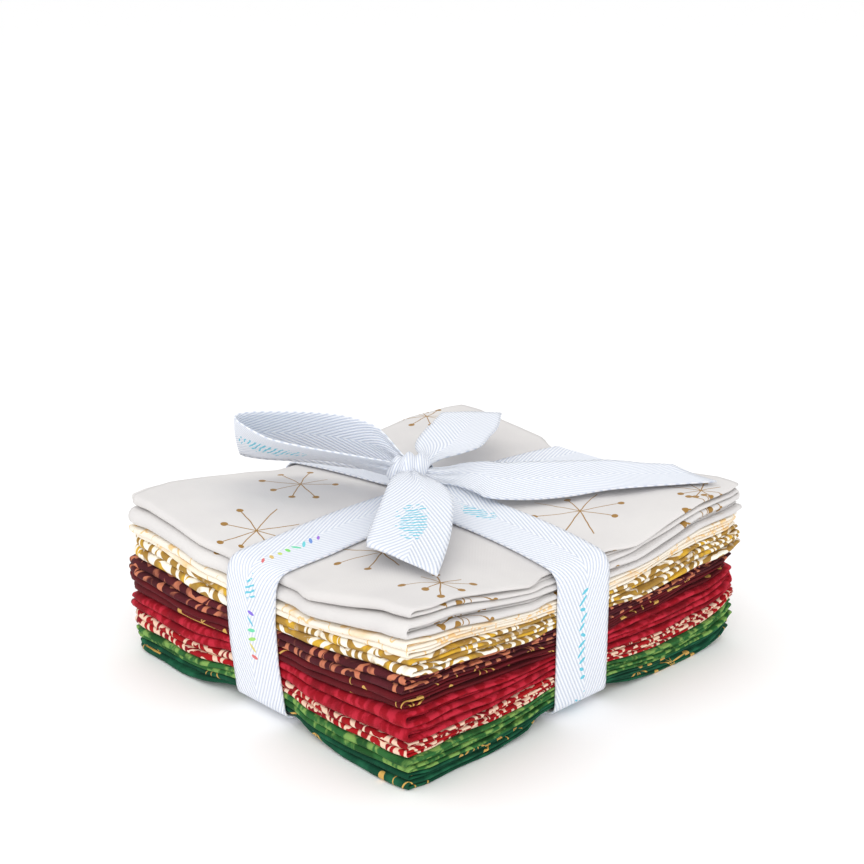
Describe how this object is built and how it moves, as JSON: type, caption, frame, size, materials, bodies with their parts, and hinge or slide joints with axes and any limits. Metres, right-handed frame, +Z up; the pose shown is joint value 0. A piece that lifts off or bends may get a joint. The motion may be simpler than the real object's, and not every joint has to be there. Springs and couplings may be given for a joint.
{
  "type": "fat quarter bundle",
  "caption": "Stack of folded quilting cottons in whites, golds, reds and greens, tied both ways with a white twill ribbon and a bow on top",
  "frame": {"origin": "on the floor under the middle of the stack, where the ribbon's two bands cross", "axes": "+Z is up; -Y faces the side where the fabrics' folds show as rolls; +X faces the side where the edges of the layers show"},
  "size_m": [0.1455, 0.1597, 0.0806],
  "materials": {
    "fabric_dark_green": "plain woven cotton",
    "fabric_green": "plain woven cotton",
    "fabric_red_scroll": "plain woven cotton",
    "fabric_red": "plain woven cotton",
    "fabric_maroon": "plain woven cotton",
    "fabric_brown": "plain woven cotton",
    "fabric_gold": "plain woven cotton",
    "fabric_cream": "plain woven cotton",
    "fabric_white": "plain woven cotton",
    "ribbon": "herringbone twill"
  },
  "bodies": {
    "root": {"fabric_dark_green": "fabric_dark_green", "fabric_green": "fabric_green", "fabric_red_scroll": "fabric_red_scroll", "fabric_red": "fabric_red", "fabric_maroon": "fabric_maroon", "fabric_brown": "fabric_brown", "fabric_gold": "fabric_gold", "fabric_cream": "fabric_cream", "fabric_white": "fabric_white", "ribbon_band_long": "ribbon", "ribbon_band_cross": "ribbon", "ribbon_knot": "ribbon", "bow_loop_side": "ribbon", "bow_loop_front": "ribbon", "bow_tail_long": "ribbon", "bow_tail_back": "ribbon"}
  },
  "joints": []
}
